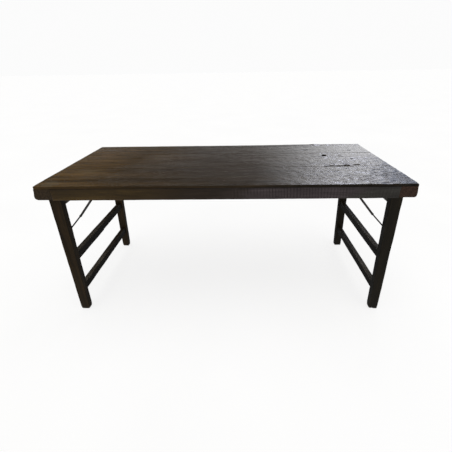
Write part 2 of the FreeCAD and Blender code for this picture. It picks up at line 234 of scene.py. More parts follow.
# ------------------------------------------------------------------ materials
class Mat:
    def __init__(self, name):
        self.m = bpy.data.materials.new(name)
        self.m.use_nodes = True
        self.t = self.m.node_tree
        self.t.nodes.clear()
        self.out = self.t.nodes.new("ShaderNodeOutputMaterial")
        self.bsdf = self.t.nodes.new("ShaderNodeBsdfPrincipled")
        self.t.links.new(self.bsdf.outputs[0], self.out.inputs[0])
        self.P = self.n("ShaderNodeTexCoord").outputs["Object"]

    def n(self, kind, **props):
        node = self.t.nodes.new(kind)
        for k, v in props.items():
            setattr(node, k, v)
        return node

    def put(self, socket, value):
        if isinstance(value, bpy.types.NodeSocket):
            self.t.links.new(value, socket)
        elif isinstance(value, (tuple, list)) and len(value) == 3 and socket.type == "RGBA":
            socket.default_value = (*value, 1)
        else:
            socket.default_value = value

    def math(self, op, a, b=0.0, c=None, clamp=False):
        node = self.n("ShaderNodeMath", operation=op, use_clamp=clamp)
        self.put(node.inputs[0], a)
        self.put(node.inputs[1], b)
        if c is not None:
            self.put(node.inputs[2], c)
        return node.outputs[0]

    def vec(self, op, a, b=(0, 0, 0)):
        node = self.n("ShaderNodeVectorMath", operation=op)
        self.put(node.inputs[0], a)
        if op == "SCALE":
            self.put(node.inputs["Scale"], b)
        else:
            self.put(node.inputs[1], b)
        return node.outputs["Value"] if op in ("LENGTH", "DOT_PRODUCT", "DISTANCE") else node.outputs["Vector"]

    def noise(self, v, scale=1.0, detail=2.0, rough=0.5, distortion=0.0, color=False):
        node = self.n("ShaderNodeTexNoise")
        self.put(node.inputs["Vector"], v)
        node.inputs["Scale"].default_value = scale
        node.inputs["Detail"].default_value = detail
        node.inputs["Roughness"].default_value = rough
        node.inputs["Distortion"].default_value = distortion
        return node.outputs["Color" if color else "Fac"]

    def voronoi(self, v, scale, feature="F1", rand=1.0):
        node = self.n("ShaderNodeTexVoronoi", feature=feature)
        self.put(node.inputs["Vector"], v)
        node.inputs["Scale"].default_value = scale
        node.inputs["Randomness"].default_value = rand
        return node.outputs["Distance"]

    def ramp(self, fac, stops, interp="LINEAR"):
        node = self.n("ShaderNodeValToRGB")
        self.put(node.inputs[0], fac)
        r = node.color_ramp
        r.interpolation = interp
        while len(r.elements) < len(stops):
            r.elements.new(0.5)
        for e, (p, c) in zip(r.elements, stops):
            e.position = p
            e.color = (*c, 1) if len(c) == 3 else c
        return node.outputs[0]

    def map(self, v, a, b, c, d, clamp=True, kind="LINEAR"):
        node = self.n("ShaderNodeMapRange", clamp=clamp, interpolation_type=kind)
        self.put(node.inputs["Value"], v)
        for key, val in (("From Min", a), ("From Max", b), ("To Min", c), ("To Max", d)):
            self.put(node.inputs[key], val)
        return node.outputs["Result"]

    def mix(self, fac, a, b, blend="MIX"):
        node = self.n("ShaderNodeMix", data_type="RGBA", blend_type=blend)
        self.put(node.inputs[0], fac)
        self.put(node.inputs[6], a)
        self.put(node.inputs[7], b)
        return node.outputs[2]

    def attr(self, name):
        return self.n("ShaderNodeAttribute", attribute_name=name, attribute_type="GEOMETRY").outputs["Fac"]

    def bump(self, height, strength, distance, normal=None):
        node = self.n("ShaderNodeBump")
        node.inputs["Strength"].default_value = strength
        node.inputs["Distance"].default_value = distance
        self.put(node.inputs["Height"], height)
        if normal is not None:
            self.put(node.inputs["Normal"], normal)
        return node.outputs[0]

    def patch(self, centre, radius, warp):
        """1 at centre, falling to 0 at radius, with a ragged rim."""
        v = self.vec("SUBTRACT", self.P, centre)
        v = self.vec("DIVIDE", v, radius)
        d = self.vec("LENGTH", v)
        d = self.math("ADD", d, self.math("MULTIPLY", self.math("SUBTRACT", warp, 0.5), 1.3))
        return self.map(d, 0.35, 1.0, 1.0, 0.0, kind="SMOOTHSTEP")


def wood(name, axis, dark, mid, light, seed=0.0, rough=(0.35, 0.55), spec=0.5, bump=0.5, wear_and_painted_highlight=(0.12, 0.085, 0.055),
         wear_and_highlight_amount=0.6, endc=None, patches=(), across=1.0, streak=1.0, tint=None, saw=None, coat=0.0, blotch=0.35,
         spots=0.0, rough_by_x=None, spec_side=None):
    k = Mat(name)
    P = k.vec("ADD", k.P, (seed * 3.1, seed * 1.7, seed * 2.3))
    low = k.noise(P, 2.2, 2.0, 0.5, color=True)
    warp = k.vec("MULTIPLY", k.vec("SUBTRACT", low, (0.5, 0.5, 0.5)), tuple(0.0 if i == axis else 0.055 for i in range(3)))
    mid_w = k.noise(k.vec("MULTIPLY", P, tuple(9.0 if i == axis else 24.0 for i in range(3))), 1.0, 2.0, 0.5, color=True)
    warp2 = k.vec("MULTIPLY", k.vec("SUBTRACT", mid_w, (0.5, 0.5, 0.5)), tuple(0.0 if i == axis else 0.006 for i in range(3)))
    G = k.vec("ADD", k.vec("ADD", P, warp), warp2)

    def stretched(along, side, detail, roughness):
        s = tuple(along if i == axis else side * across for i in range(3))
        return k.noise(k.vec("MULTIPLY", G, s), 1.0, detail, roughness)

    broad = stretched(1.6, 34.0, 3.0, 0.55)
    rings = stretched(3.5, 170.0, 4.0, 0.6)
    fibre = stretched(22.0, 900.0, 3.0, 0.65)
    pores = stretched(70.0, 1500.0, 1.0, 0.5)
    f = k.math("ADD", k.math("MULTIPLY", broad, 0.5), k.math("MULTIPLY", rings, 0.33 * streak))
    f = k.math("ADD", f, k.math("MULTIPLY", fibre, 0.17 + 0.33 * (1 - streak)))
    col = k.ramp(f, [(0.36, dark), (0.5, mid), (0.64, light)], "EASE")
    stain = k.noise(k.vec("MULTIPLY", P, tuple(3.0 if i == axis else 9.0 for i in range(3))), 1.0, 4.0, 0.6)
    stain_v = k.map(stain, 0.3, 0.7, 1.0 - blotch, 1.0 + blotch, clamp=False)
    col = k.vec("SCALE", col, stain_v)
    pore = k.map(pores, 0.60, 0.72, 0.0, 1.0)
    col = k.mix(k.math("MULTIPLY", pore, 0.55), col, tuple(c * 0.25 for c in dark))
    if tint is not None:
        # a slow change along X, from left to right
        x = k.n("ShaderNodeSeparateXYZ")
        k.put(x.inputs[0], k.P)
        t = k.math("ADD", x.outputs["X"], k.math("MULTIPLY", k.math("SUBTRACT", stain, 0.5), 0.5))
        stops = [((xx + 1.0) / 2.0, cc) for xx, cc in tint]
        tcol = k.ramp(k.map(t, -1.0, 1.0, 0.0, 1.0), stops, "EASE")
        col = k.mix(1.0, col, tcol, "MULTIPLY")
    ragged = k.noise(k.vec("MULTIPLY", G, tuple(18.0 if i == axis else 60.0 for i in range(3))), 1.0, 4.0, 0.6)
    for centre, radius, colour, strength in patches:
        p = k.patch(centre, radius, ragged)
        col = k.mix(k.math("MULTIPLY", p, strength), col, colour)
    if spots:
        v = k.voronoi(k.vec("MULTIPLY", P, (1, 1, 1)), 38.0)
        sp = k.math("MULTIPLY", k.map(v, 0.05, 0.13, 1.0, 0.0), k.map(stain, 0.5, 0.62, 0.0, 1.0))
        col = k.mix(k.math("MULTIPLY", sp, spots), col, tuple(c * 0.3 for c in dark))
    # end grain: rings cut across, darker and open
    e = k.attr("endg")
    ring_v = k.noise(k.vec("MULTIPLY", G, tuple(60.0 if i == axis else 190.0 for i in range(3))), 1.0, 5.0, 0.7)
    endc = endc or (tuple(c * 0.55 for c in dark), mid)
    ecol = k.ramp(ring_v, [(0.35, endc[0]), (0.62, endc[1])])
    if tint is not None:
        ecol = k.mix(0.6, ecol, tcol, "MULTIPLY")
    col = k.mix(e, col, ecol)
    # worn arrises plus painted highlights (rail ripple ridges, rung tops); dark knots, dents and seams plus painted
    # shade (gap lines, the front plank's face, inner faces and undersides, ripple hollows)
    wa = k.attr("wear_and_painted_highlight")
    wn = k.noise(k.vec("MULTIPLY", G, tuple(60.0 if i == axis else 220.0 for i in range(3))), 1.0, 3.0, 0.6)
    wear_and_highlight_mask = k.math("MULTIPLY", k.math("MULTIPLY", wa, wear_and_highlight_amount), k.map(wn, 0.35, 0.62, 0.25, 1.0))
    col = k.mix(wear_and_highlight_mask, col, wear_and_painted_highlight)
    ca = k.attr("dark_marks_and_painted_shade")
    col = k.mix(ca, col, tuple(c * 0.12 for c in dark))
    k.put(k.bsdf.inputs["Base Color"], col)
    rg = k.map(k.math("ADD", k.math("MULTIPLY", rings, 0.6), k.math("MULTIPLY", stain, 0.4)), 0.38, 0.62, rough[0], rough[1])
    if rough_by_x is not None:
        x2 = k.n("ShaderNodeSeparateXYZ")
        k.put(x2.inputs[0], k.P)
        rg = k.math("ADD", rg, k.map(x2.outputs["X"], rough_by_x[0], rough_by_x[1], rough_by_x[2], rough_by_x[3], kind="SMOOTHSTEP"))
        dull = k.noise(k.vec("MULTIPLY", k.vec("ADD", G, k.vec("SCALE", mid_w, 0.02)), (50.0, 40.0, 1.0)), 1.0, 3.0, 0.6)
        drawn = k.noise(k.vec("MULTIPLY", G, (9.0, 62.0, 1.0)), 1.0, 3.0, 0.6)
        along_x = k.map(k.math("ADD", x2.outputs["X"], k.math("MULTIPLY", x2.outputs["Y"], -0.25)), 0.36, 0.60, 0.0, 1.0, kind="SMOOTHSTEP")
        dull = k.math("ADD", k.math("MULTIPLY", dull, along_x), k.math("MULTIPLY", drawn, k.math("SUBTRACT", 1.0, along_x)))
        dull = k.math("MULTIPLY", k.map(dull, 0.42, 0.66, -0.03, 0.28), k.map(x2.outputs["Y"], 0.12, -0.12, 0.40, 1.0, kind="SMOOTHSTEP"))
        rg = k.math("ADD", rg, k.math("MULTIPLY", dull, k.map(x2.outputs["X"], 0.15, 0.50, 0.0, 1.0, kind="SMOOTHSTEP")))
    rg = k.math("ADD", rg, k.math("MULTIPLY", k.math("MAXIMUM", ca, e), 0.3), clamp=True)
    if spec_side is not None:
        rg = k.math("ADD", rg, k.map(k.attr("upward"), 0.0, 0.6, 0.42, 0.0), clamp=True)
    k.put(k.bsdf.inputs["Roughness"], rg)
    if spec_side is None:
        k.bsdf.inputs["Specular IOR Level"].default_value = spec
    else:
        sx3 = k.n("ShaderNodeSeparateXYZ")
        k.put(sx3.inputs[0], k.P)
        along = k.math("SUBTRACT", sx3.outputs["X"], k.math("MULTIPLY", sx3.outputs["Y"], 0.55))
        waxed = k.map(k.math("ADD", along, k.math("MULTIPLY", k.math("SUBTRACT", stain, 0.5), 0.4)), -0.60, 0.35, spec * 0.03, spec, kind="SMOOTHSTEP")
        # rubbed ridges and dirty hollows, strongest at the right-hand end
        rub = k.noise(k.vec("MULTIPLY", k.vec("ADD", G, mid_w), (62.0, 27.0, 1.0)), 1.0, 2.0, 0.55)
        rub = k.map(rub, 0.37, 0.63, 0.18, 1.75)
        edge_x = k.map(sx3.outputs["X"], 0.22, 0.58, 0.0, 1.0, kind="SMOOTHSTEP")
        rub = k.math("ADD", k.math("MULTIPLY", k.math("SUBTRACT", rub, 1.0), edge_x), 1.0)
        waxed = k.math("MULTIPLY", k.math("MULTIPLY", waxed, rub), k.map(ca, 0.15, 0.7, 1.0, 0.0))
        k.put(k.bsdf.inputs["Specular IOR Level"], k.map(k.attr("upward"), 0.0, 1.0, spec_side, waxed))
    if coat:
        k.bsdf.inputs["Coat Weight"].default_value = coat
        k.bsdf.inputs["Coat Roughness"].default_value = 0.3
    h = k.math("ADD", k.math("MULTIPLY", rings, 0.55), k.math("MULTIPLY", fibre, 0.35))
    h = k.math("SUBTRACT", h, k.math("MULTIPLY", pore, 0.25))
    if saw is not None:
        s_axis, s_scale, s_amt = saw
        sv = k.noise(k.vec("MULTIPLY", P, tuple(s_scale if i == s_axis else 4.0 for i in range(3))), 1.0, 2.0, 0.6)
        h = k.math("ADD", h, k.math("MULTIPLY", sv, s_amt))
        col2 = k.mix(k.map(sv, 0.42, 0.62, 0.0, 0.28), col, tuple(min(1, c * 2.2) for c in light))
        k.put(k.bsdf.inputs["Base Color"], col2)
    big = k.noise(k.vec("MULTIPLY", P, tuple(10.0 if i == axis else 30.0 for i in range(3))), 1.0, 3.0, 0.5)
    n1 = k.bump(big, bump * 0.35, 0.002)
    n2 = k.bump(h, bump, 0.0006, n1)
    k.put(k.bsdf.inputs["Normal"], n2)
    return k.m


def iron(name, base=(0.05, 0.047, 0.043), rough=(0.42, 0.62), rust=0.35, seed=0.0, metallic=0.8, scale=1.0):
    k = Mat(name)
    P = k.vec("ADD", k.P, (seed, seed * 2.1, seed * 0.7))
    a = k.noise(P, 55.0 * scale, 5.0, 0.65)
    b = k.noise(P, 260.0 * scale, 4.0, 0.6)
    c = k.noise(P, 900.0, 2.0, 0.5)
    col = k.ramp(a, [(0.3, tuple(x * 0.45 for x in base)), (0.55, base), (0.75, tuple(min(1, x * 1.9) for x in base))])
    r = k.math("MULTIPLY", k.map(b, 0.5, 0.68, 0.0, 1.0), rust)
    col = k.mix(r, col, (0.062, 0.026, 0.012))
    wa = k.map(c, 0.55, 0.75, 0.0, 0.35)
    col = k.mix(wa, col, tuple(min(1, x * 3.0) for x in base))
    k.put(k.bsdf.inputs["Base Color"], col)
    k.put(k.bsdf.inputs["Roughness"], k.map(a, 0.3, 0.7, rough[0], rough[1]))
    k.bsdf.inputs["Metallic"].default_value = metallic
    h = k.math("ADD", k.math("MULTIPLY", a, 0.6), k.math("MULTIPLY", b, 0.4))
    n1 = k.bump(h, 0.55, 0.0006)
    k.put(k.bsdf.inputs["Normal"], k.bump(c, 0.3, 0.0002, n1))
    return k.m


# the top's boards: brown on the left where the wear is light, near-black and neutral further right, cooler at the
# right-hand end; part of the warm left and the cool right is painted light, warm light on the left and cool window
# light on the right
TINT = [(-0.95, (2.65, 2.05, 1.10)), (-0.72, (2.5, 1.92, 1.0)), (-0.48, (1.62, 1.28, 0.74)), (-0.1, (1.06, 0.91, 0.69)), (0.5, (1.0, 1.0, 1.08)), (0.95, (0.9, 0.97, 1.25))]
TOP_PATCHES = [
    ((-0.70, -0.16, 0.76), (0.10, 0.05, 0.3), (0.115, 0.080, 0.036), 0.30),
    ((-0.73, 0.16, 0.76), (0.07, 0.05, 0.3), (0.125, 0.070, 0.032), 0.30),
    ((-0.80, -0.34, 0.76), (0.06, 0.05, 0.3), (0.09, 0.08, 0.055), 0.35),
    ((0.83, -0.36, 0.76), (0.05, 0.03, 0.3), (0.006, 0.006, 0.007), 0.7),
]
M = {}
for i, nm in enumerate(("plank_front", "plank_front_inner", "plank_back_inner", "plank_back")):
    v = (1.0, 0.93, 1.05, 0.98)[i] * 1.15
    M[nm] = wood("wood_" + nm, 0, tuple(v * c for c in (0.0100, 0.0074, 0.0044)), tuple(v * c for c in (0.0215, 0.0158, 0.0092)),
                 tuple(v * c for c in (0.040, 0.029, 0.017)), seed=1.3 + i * 2.7, rough=(0.14, 0.26), spec=0.5, bump=0.5,
                 wear_and_painted_highlight=(0.05, 0.038, 0.026), wear_and_highlight_amount=0.2, patches=TOP_PATCHES, tint=TINT, blotch=0.25, spots=0.5, spec_side=0.08,
                 rough_by_x=(0.25, 0.60, 0.0, -0.075))
# the wear colour also paints the highlight on the ridges of the rail's ripples
M["rail"] = wood("wood_rail", 0, (0.0125, 0.0085, 0.0056), (0.0235, 0.0158, 0.0102), (0.038, 0.0262, 0.0172), seed=21.0, spec=0.1,
                 rough=(0.42, 0.6), bump=0.6, wear_and_painted_highlight=(0.088, 0.070, 0.068), wear_and_highlight_amount=0.55,
                 tint=[(-0.95, (1.5, 1.3, 0.45)), (-0.45, (1.35, 1.2, 0.55)), (-0.12, (0.72, 0.74, 0.72)), (0.05, (0.9, 0.98, 1.2)), (0.22, (1.5, 1.75, 2.8)),
                       (0.52, (1.45, 1.70, 2.75)), (0.64, (1.15, 1.58, 2.15)), (0.95, (1.05, 1.50, 1.95))])
M["rail_back"] = wood("wood_rail_back", 0, (0.013, 0.0095, 0.0072), (0.028, 0.020, 0.0145), (0.045, 0.033, 0.024), seed=27.0, spec=0.15,
                      rough=(0.42, 0.6), bump=0.5, wear_and_painted_highlight=(0.075, 0.052, 0.036), wear_and_highlight_amount=0.4)
M["end_rail"] = wood("wood_end_rail", 1, (0.012, 0.0078, 0.0042), (0.024, 0.0155, 0.0085), (0.04, 0.027, 0.016), seed=33.0, spec=0.1,
                     rough=(0.42, 0.6), bump=0.5, wear_and_painted_highlight=(0.06, 0.042, 0.028), wear_and_highlight_amount=0.4,
                     tint=[(-0.95, (0.85, 0.98, 0.62)), (0.5, (1.15, 1.0, 0.98)), (0.95, (1.22, 1.02, 1.0))],
                     patches=[((0.830, -0.378, 0.732), (0.024, 0.03, 0.010), (0.150, 0.090, 0.058), 0.75)],
                     endc=((0.012, 0.0078, 0.0058), (0.042, 0.0262, 0.0185)))
M["leg"] = wood("wood_leg", 2, (0.0042, 0.0034, 0.0020), (0.0085, 0.0068, 0.0041), (0.0150, 0.0115, 0.0070), seed=41.0,
                rough=(0.5, 0.68), spec=0.07, bump=0.5, wear_and_painted_highlight=(0.035, 0.026, 0.017), wear_and_highlight_amount=0.4, blotch=0.4,
                patches=[((-0.748, -0.357, 0.205), (0.030, 0.03, 0.045), (0.036, 0.034, 0.034), 0.55), ((-0.735, -0.357, 0.375), (0.024, 0.03, 0.040), (0.028, 0.030, 0.030), 0.5)],
                tint=[(-0.95, (2.0, 1.5, 0.9)), (-0.7, (1.9, 1.45, 0.9)), (0.7, (0.9, 0.9, 0.82)), (0.95, (0.95, 0.9, 0.8))])
# the wear colour also paints the highlight along the rungs' top faces
M["rung"] = wood("wood_rung", 1, (0.0040, 0.0032, 0.0020), (0.0082, 0.0065, 0.0041), (0.0150, 0.0115, 0.0072), seed=52.0,
                 rough=(0.48, 0.66), spec=0.08, bump=0.5, wear_and_painted_highlight=(0.105, 0.096, 0.082), wear_and_highlight_amount=0.85, blotch=0.4,
                 tint=[(-0.95, (1.7, 1.3, 0.9)), (-0.7, (1.6, 1.3, 0.9)), (0.7, (1.0, 1.0, 0.9)), (0.95, (1.0, 1.0, 0.9))])
M["batten"] = wood("wood_batten", 1, (0.035, 0.023, 0.014), (0.075, 0.050, 0.031), (0.125, 0.088, 0.056), seed=61.0,
                   rough=(0.6, 0.8), spec=0.3, bump=0.6, wear_and_painted_highlight=(0.16, 0.12, 0.08), wear_and_highlight_amount=0.4, saw=(1, 90.0, 0.6))
M["peg"] = wood("wood_peg", 0, (0.005, 0.004, 0.0025), (0.011, 0.008, 0.005), (0.02, 0.014, 0.009), seed=71.0, rough=(0.5, 0.7), bump=0.3, spec=0.1)
M["stay"] = iron("iron_stay", (0.009, 0.008, 0.007), (0.5, 0.68), 0.25, 1.0, metallic=0.3)
M["hinge"] = iron("iron_hinge", (0.07, 0.064, 0.056), (0.38, 0.58), 0.45, 5.0)
M["rivet"] = iron("iron_rivet", (0.05, 0.046, 0.04), (0.4, 0.6), 0.35, 9.0)
M["nail"] = iron("iron_nail", (0.022, 0.018, 0.014), (0.45, 0.65), 0.6, 13.0)
M["screw"] = iron("steel_screw", (0.26, 0.25, 0.23), (0.3, 0.5), 0.3, 17.0, metallic=0.9)
M["pin"] = iron("steel_pin", (0.34, 0.33, 0.31), (0.25, 0.42), 0.15, 19.0, metallic=0.95)

# ------------------------------------------------------------------ the top
KNOT = (0.566, 0.102)
CRACK = (0.50, 0.672)
SEAM_F, SEAM_M, SEAM_B = -0.262, -0.110, 0.160
nd = Noise(7)
NAILS = []
for ya, yb in ((-HY, SEAM_F), (SEAM_F, SEAM_M), (SEAM_M, SEAM_B), (SEAM_B, HY)):
    for nx in (-0.822, -0.757, 0.757, 0.822):
        NAILS += [(nx, ya + (yb - ya) * 0.25), (nx, ya + (yb - ya) * 0.75)]
    NAILS += [(nx, (ya + yb) / 2) for nx in (-0.618, -0.310, 0.0, 0.310, 0.618)]


def corner(V):
    """Rounds the four corners of the table in plan."""
    V = V.copy()
    for sx, rcs in ((-1, (0.0110, 0.0042)), (1, (0.0030, 0.0026))):
        for sy, rc in zip((-1, 1), rcs):
            qx, qy = HX - rc, HY - rc
            vx, vy = V[:, 0] * sx - qx, V[:, 1] * sy - qy
            hit = (vx > 0) & (vy > 0)
            s = np.maximum(vx[hit], vy[hit])
            ln = np.hypot(vx[hit], vy[hit])
            V[hit, 0] = sx * (qx + vx[hit] / ln * s)
            V[hit, 1] = sy * (qy + vy[hit] / ln * s)
    return V


DENTS = [  # x, y, length, width, depth
    (-0.600, -0.117, 0.022, 0.0050, 0.0032), (-0.640, 0.002, 0.018, 0.0045, 0.0026), (-0.555, 0.066, 0.016, 0.0040, 0.0026),
    (-0.505, 0.069, 0.012, 0.0036, 0.0022), (0.634, -0.092, 0.017, 0.0145, 0.0085), (0.585, -0.099, 0.045, 0.0060, 0.0048),
    (0.535, -0.103, 0.030, 0.0050, 0.0034), (0.690, -0.085, 0.024, 0.0060, 0.0030), (0.745, 0.215, 0.020, 0.0060, 0.0024),
    (0.705, 0.035, 0.026, 0.0055, 0.0026), (0.655, 0.085, 0.022, 0.0050, 0.0022), (0.480, 0.238, 0.030, 0.0045, 0.0018),
]
SWIRLS = [(0.655, -0.02, 0.15, 0.00070), (0.775, -0.19, 0.13, 0.00070), (0.60, 0.10, 0.10, 0.00050), (0.70, -0.32, 0.10, 0.00055), (0.80, 0.06, 0.12, 0.00050)]


def top_disp(V, N, nz_):
    x, y = V[:, 0], V[:, 1]
    up = np.clip(N[:, 2], 0, 1)
    h = -0.0004 + 0.0006 * nd.fbm(x * 2.4, y * 5.0, 0.3, 2) + 0.00024 * nd.fbm(x * 4.0, y * 34.0, 1.7, 2) + 0.00016 * nd.fbm(x * 7.0, y * 90.0, 5.7, 2)
    # broken, wavy grain, worst at the right-hand end and towards the front
    u = x + 0.22 * y + 0.012 * nd(x * 9, y * 9, 6.0)
    right = smooth(0.12, 0.60, x + 0.12 * nd(x * 5, y * 5, 2.0)) * 0.72 + 0.13 * smooth(-0.1, 0.3, x) + 0.15
    front = smooth(0.28, -0.15, y) * 0.35 + 0.65
    rugged = (1.0 + 0.30 * smooth(0.34, 0.50, x) * smooth(0.30, -0.05, y)) * (1.0 - 0.45 * smooth(0.72, 0.84, x))
    h = h + right * front * rugged * (0.00122 * nd.fbm(u * 30.0, y * 27.0, 7.7, 2, 0.5) + 0.00048 * nd(u * 95.0, y * 48.0, 9.0))
    h = h + right * 0.00065 * nd.fbm(x * 9.0, y * 42.0, 3.3, 2)
    for sx_, sy_, reach, amp in SWIRLS:
        dd = np.hypot((x - sx_) / 1.7, y - sy_) + 0.012 * nd(x * 14, y * 14, 12.0)
        h = h + right * amp * np.sin(2 * math.pi * dd / 0.027) * np.exp(-(dd / reach * 1.6) ** 2)
    h = h + 0.0030 * smooth(0.328, 0.40, y) * smooth(0.15, 0.6, x)
    h = h + 0.0022 * np.exp(-((x - 0.57) / 0.035) ** 2 - ((y - 0.375) / 0.02) ** 2)
    # the wood lies flush round every nail head
    for nx, ny in NAILS:
        dn2 = (x - nx) ** 2 + (y - ny) ** 2
        m = dn2 < 0.0004
        h[m] = h[m] * (1 - np.exp(-dn2[m] / 0.0052 ** 2)) - 0.00012 * np.exp(-dn2[m] / 0.004 ** 2)
    # a proud swirl of grain round the knot and beside the open crack
    ring = np.hypot((x - KNOT[0]) / 1.9, y - KNOT[1])
    h = h + 0.0006 * np.exp(-((ring - 0.022) / 0.010) ** 2) - 0.0005 * np.exp(-((ring - 0.042) / 0.009) ** 2)
    c = np.zeros(len(V))
    rk = np.hypot((x - KNOT[0]) / 1.02, (y - KNOT[1]) / 1.7) + 0.0012 * nz_(x * 220, y * 220, 0.0)
    k = smooth(0.0112, 0.0075, rk)
    h = h - 0.0098 * k
    c = np.maximum(c, smooth(0.0130, 0.0090, rk))
    for dx, dy, ln, wd, dp in DENTS:
        q = np.hypot((x - dx) / ln, (y - dy + 0.0016 * nz_(x * 60, 1.3 + dx)) / wd)
        s = np.exp(-(q ** 2) * 1.6)
        h = h - dp * s
        c = np.maximum(c, np.clip(1.25 * s - 0.15, 0, 1) * min(1.0, dp / 0.0022))
    # uneven front faces, dark seams, and painted shade on the plank sides
    side = np.clip(-N[:, 1], 0, 1)
    d = h * up
    d = d + side * (0.00035 * nz_.fbm(x * 26, V[:, 2] * 160, 3.0, 2))
    seam = np.minimum(np.abs(y - SEAM_M), np.abs(y - SEAM_B))
    c = np.maximum(c, np.clip(1 - seam / 0.0016, 0, 1) * 0.9)
    c = c * np.clip(up * 1.5 + 0.2, 0, 1)
    # painted shadow: a dark line along the foot of each front-facing plank side
    c = np.maximum(c, side * np.exp(-((V[:, 2] - PLANK_Z) / 0.0016) ** 2))
    # painted shade: the front plank's front face is darkened, more towards the right
    c = np.maximum(c, np.clip(-N[:, 1], 0, 1) * (y < -HY + 0.01) * (0.34 + 0.36 * smooth(0.05, 0.4, x)) * np.clip(0.85 + 0.6 * nz_.fbm(x * 18, 4.0, V[:, 2] * 90, 2), 0, 1))
    return d, c


def plank_radius(y0, y1):
    def fn(P, nz_):
        x, y, z = P.T
        topside = (z > 0.7535).astype(float)
        out = np.zeros(len(P))
        near = lambda s, w=0.02: (np.abs(y - s) < w).astype(float)
        n1 = nz_.fbm(x * 16, 3.1, 0.0, 3)
        # the open crack beside the middle seam
        crack = smooth(CRACK[0], CRACK[0] + 0.035, x) * smooth(CRACK[1], CRACK[1] - 0.02, x)
        out += near(SEAM_M) * topside * crack * (0.0036 + 0.0048 * np.clip(0.3 + nz_(x * 70, 5.0), 0, 1))
        # seams open a little and break out in places
        for s, k in ((SEAM_F, 0.5), (SEAM_M, 1.0), (SEAM_B, 1.0)):
            out += near(s) * topside * 0.0016 * np.clip(n1 + 0.08, 0, 1) * 1.6 * k
        out -= near(SEAM_F) * topside * 0.0013
        out += near(SEAM_B) * topside * 0.0012 * smooth(0.3, 0.7, x)
        # the front arris is worn, most of all at the right-hand corner
        fr = (y < -HY + 0.02) * topside
        out += fr * (0.0022 * np.clip(n1 + 0.1, 0, 1) + 0.0030 * smooth(0.79, 0.835, x) + 0.0018 * smooth(-0.82, -0.85, x))
        bk = (y > HY - 0.02) * topside
        out += bk * 0.0018 * np.clip(n1 + 0.15, 0, 1)
        ends = ((np.abs(x) > HX - 0.02) * topside)
        out += ends * 0.0010 * np.clip(nz_.fbm(y * 18, 7.7, 0.0, 3) + 0.2, 0, 1)
        return out
    return fn


rows = (-HY, SEAM_F, SEAM_M, SEAM_B, HY)
fine_x = ((0.49, 0.70, 0.0024), (0.30, HX, 0.0034))
for i, nm in enumerate(("plank_front", "plank_front_inner", "plank_back_inner", "plank_back")):
    lo, hi = box(nm)
    lo[2], hi[2] = PLANK_Z, TOP
    if i == 0:
        hi[1] = SEAM_F - 0.0001
    if i == 1:
        lo[1] = SEAM_F + 0.0001
    fy = ()
    if i == 2:
        fy = ((-0.109, -0.080, 0.0018), (0.076, 0.128, 0.0018))
    timber("board_" + nm, lo, hi, (0.0052, 0.0034, 0.006), 0.0019, 0, 100 + i, "top", [nm], M[nm],
           rfun=plank_radius(lo[1], hi[1]), disp=top_disp, shape=corner,
           fine=(fine_x, fy, ()), wear_w=0.0032, rough=0.00012)

# ------------------------------------------------------------------ the apron
def rail_disp(V, N, nz_):
    x, y, z = V.T
    front = np.clip(-N[:, 1], 0, 1)
    zone = smooth(0.0, 0.12, x) * (0.35 + 0.65 * smooth(0.62, 0.42, x)) * smooth(-0.35, 0.1, nz_(x * 6, z * 8, 0.0) + 0.12)
    ph = 2 * math.pi * (x / 0.0138 + 0.9 * nz_(x * 9, z * 5, 4.0) + 0.03 * (z - 0.72) / 0.01)
    ripple = np.sin(ph) * (0.62 + 1.1 * nz_(x * 30, 2.0, 1.0))
    d = front * (0.00055 * zone * ripple + 0.0005 * nz_.fbm(x * 5, z * 20, 1.0, 2) - 0.0004)
    low = np.clip(-N[:, 2], 0, 1)
    d = d + low * 0.0009 * nz_.fbm(x * 7, 3.0, 1.0, 3)
    gouge = np.exp(-((x - 0.24) / 0.010) ** 2 - ((z - 0.706) / 0.002) ** 2) * 0.0012 * front
    # painted shadow: a dark line along the top of the front face, under the plank edge
    edge = front * np.exp(-((z - PLANK_Z) / 0.0022) ** 2)
    grain = np.clip(0.65 + 0.9 * nz_(x * 40, z * 60, 8.0), 0, 1)
    # painted shade in the hollows of the ripples and a painted highlight on their ridges
    dark_marks_and_painted_shade = np.clip(-ripple, 0, 1) * zone * front * 0.62 * grain
    painted_ridge_highlight = np.clip(ripple - 0.05, 0, 1) * zone * front * 1.0 * grain
    return d - gouge, np.maximum(np.maximum(dark_marks_and_painted_shade, gouge / 0.0022), edge), painted_ridge_highlight


lo, hi = box("long_rail_front")
lo[2], hi[2] = APRON - 0.003, PLANK_Z
timber("apron_front", lo, hi, (0.0048, 0.0055, 0.0046), 0.0019, 0, 121, "top", ["long_rail_front"], M["rail"],
       disp=rail_disp, fine=(((-0.02, 0.786, 0.0021),), (), ()), wear_w=0.003)
lo, hi = box("long_rail_back")
lo[2], hi[2] = APRON - 0.002, PLANK_Z
timber("apron_back", lo, hi, (0.006, 0.0055, 0.0052), 0.0019, 0, 122, "top", ["long_rail_back"], M["rail_back"],
       disp=lambda V, N, n_: 0.0004 * n_.fbm(V[:, 0] * 8, V[:, 2] * 40, 0, 3), wear_w=0.003)

